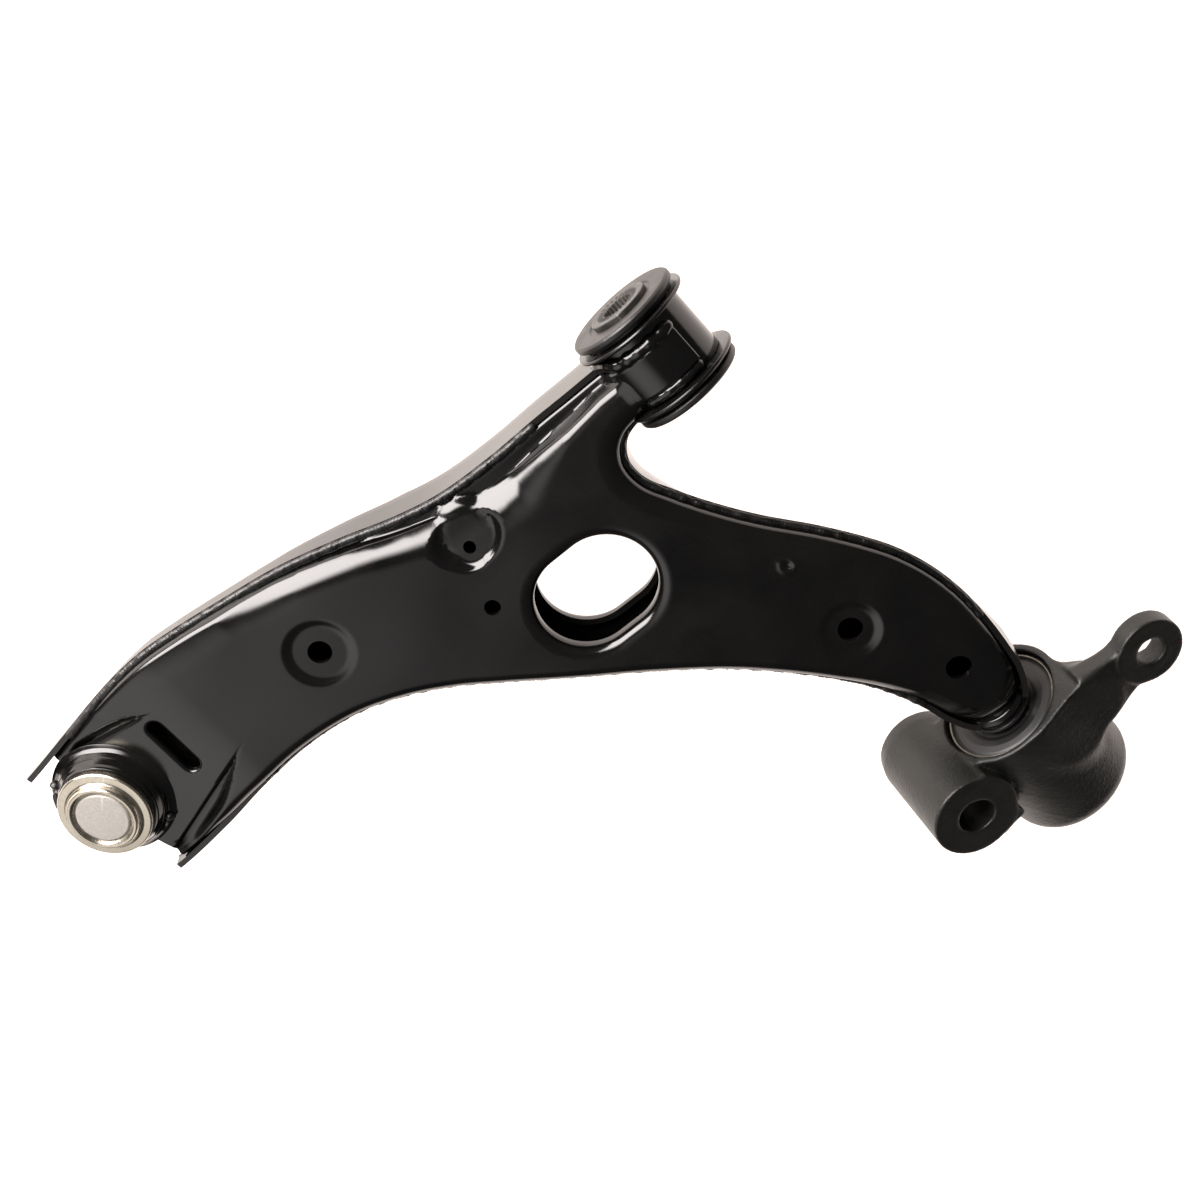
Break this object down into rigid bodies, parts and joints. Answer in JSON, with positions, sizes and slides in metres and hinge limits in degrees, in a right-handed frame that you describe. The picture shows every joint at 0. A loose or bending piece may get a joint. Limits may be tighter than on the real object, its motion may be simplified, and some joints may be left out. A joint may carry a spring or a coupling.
{
  "type": "front lower control arm",
  "caption": "Stamped two-shell front lower control arm with a tube bush, a rubber bush in a bolted cast bracket, and a ball joint with a pinch-bolt stud.",
  "frame": {"origin": "centre of the front bush's bolt bore, halfway along the sleeve", "axes": "+X along the front bush axis, away from the rear bush; +Y outboard to the ball joint; +Z to the side that the ball joint's closing plate faces, which is down on the vehicle"},
  "size_m": [0.353, 0.4528, 0.0985],
  "materials": {
    "ecoat_black": "gloss black electrophoretic coat",
    "weld_black": "bumpy weld bead under black coat",
    "can_black": "gloss black coat",
    "bush_rubber": "matt grey-black rubber with bloom",
    "sleeve_steel": "dull phosphated steel",
    "zinc_steel": "bright zinc plate with a yellow tint",
    "cap_steel": "matt grained steel",
    "seat_plastic": "natural acetal",
    "stud_steel": "phosphated steel",
    "boot_rubber": "black rubber",
    "spring_steel": "spring steel",
    "core_steel": "dull steel",
    "can_steel": "bright machined edge",
    "cast_black": "satin black over sand-cast grain"
  },
  "bodies": {
    "arm": {"lower_shell": "ecoat_black", "upper_shell": "ecoat_black", "seam_weld_front": "weld_black", "seam_weld_rear": "weld_black", "seam_weld_crotch": "weld_black", "front_bush_tube": "ecoat_black", "front_bush_weld": "weld_black", "front_can_near": "can_black", "front_can_far": "can_black", "front_rubber_near": "bush_rubber", "front_rubber_far": "bush_rubber", "ball_housing": "zinc_steel", "ball_collar": "ecoat_black", "collar_weld": "weld_black", "closing_plate": "cap_steel", "preload_pad": "seat_plastic", "dust_boot": "boot_rubber", "boot_base_ring": "spring_steel", "rear_pin": "ecoat_black", "pin_weld": "weld_black", "rear_bush_core": "core_steel"},
    "front_sleeve": {"front_sleeve": "sleeve_steel"},
    "rear_bracket": {"rear_bracket": "cast_black", "rear_outer_rubber": "boot_rubber", "rear_can": "can_steel", "rear_rubber": "boot_rubber"},
    "race": {"ball_race": "seat_plastic"},
    "boot_neck": {"boot_neck_ring": "spring_steel"},
    "stud": {"ball_stud": "stud_steel"}
  },
  "joints": [
    {"name": "front_bush_twist", "type": "hinge", "parent": "arm", "child": "front_sleeve", "pos_m": [0, 0, 0], "axis": [1, 0, 0], "range_deg": [-25, 25], "stiffness_Nm_per_rad": 60},
    {"name": "rear_bush_twist", "type": "hinge", "parent": "arm", "child": "rear_bracket", "pos_m": [-0.234, -0.0091, -0.0014], "axis": [0.9511, 0, 0.309], "range_deg": [-20, 20], "stiffness_Nm_per_rad": 80},
    {"name": "ball_tilt_fore", "type": "hinge", "parent": "arm", "child": "race", "pos_m": [-0.001, 0.32945, 0.00555], "axis": [1, 0, 0], "range_deg": [-18, 18], "deforming": ["dust_boot"]},
    {"name": "ball_tilt_side", "type": "hinge", "parent": "race", "child": "boot_neck", "pos_m": [-0.001, 0.32945, 0.00555], "axis": [0, 0.9833, -0.1822], "range_deg": [-18, 18]},
    {"name": "ball_spin", "type": "hinge", "parent": "boot_neck", "child": "stud", "pos_m": [-0.001, 0.32945, 0.00555], "axis": [0, 0.1822, 0.9833], "continuous": true}
  ]
}
